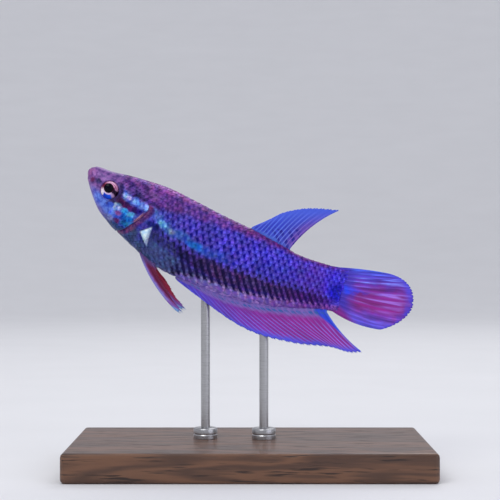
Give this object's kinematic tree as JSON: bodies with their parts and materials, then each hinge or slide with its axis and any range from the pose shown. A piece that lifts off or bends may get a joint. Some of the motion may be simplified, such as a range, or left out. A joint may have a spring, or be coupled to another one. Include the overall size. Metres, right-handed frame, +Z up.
{
  "type": "short-finned betta fish on a display stand",
  "caption": "Life-size betta fish swimming nose up with its fins spread, held by slim rods on a flat wooden base.",
  "frame": {"origin": "middle of the underside of the stand's base", "axes": "+Z up, the fish's head towards -X and its tail towards +X, its left side towards -Y"},
  "size_m": [0.062, 0.034, 0.0528],
  "materials": {
    "skin": "wet scaled skin, iridescent blue-violet",
    "eye": "clear wet cornea over a pink-white iris and black pupil",
    "fin": "thin wet fin membrane over rays, blue to magenta",
    "clear_fin": "almost clear fin membrane",
    "stand_wood": "satin oiled walnut",
    "stand_steel": "fine-turned stainless steel"
  },
  "bodies": {
    "root": {"head": "skin", "lower_jaw": "skin", "gill_cover_left": "skin", "gill_cover_right": "skin", "trunk_front": "skin", "trunk_rear": "skin", "tail_stalk": "skin", "eye_left": "eye", "eye_right": "eye", "dorsal_fin": "fin", "anal_fin": "fin", "tail_fin": "fin", "pelvic_fin_left": "fin", "pelvic_fin_right": "fin", "pectoral_fin_left": "clear_fin", "pectoral_fin_right": "clear_fin", "stand_base": "stand_wood", "stand_rod_front": "stand_steel", "stand_rod_rear": "stand_steel", "stand_collar_front": "stand_steel", "stand_collar_rear": "stand_steel"}
  },
  "joints": []
}
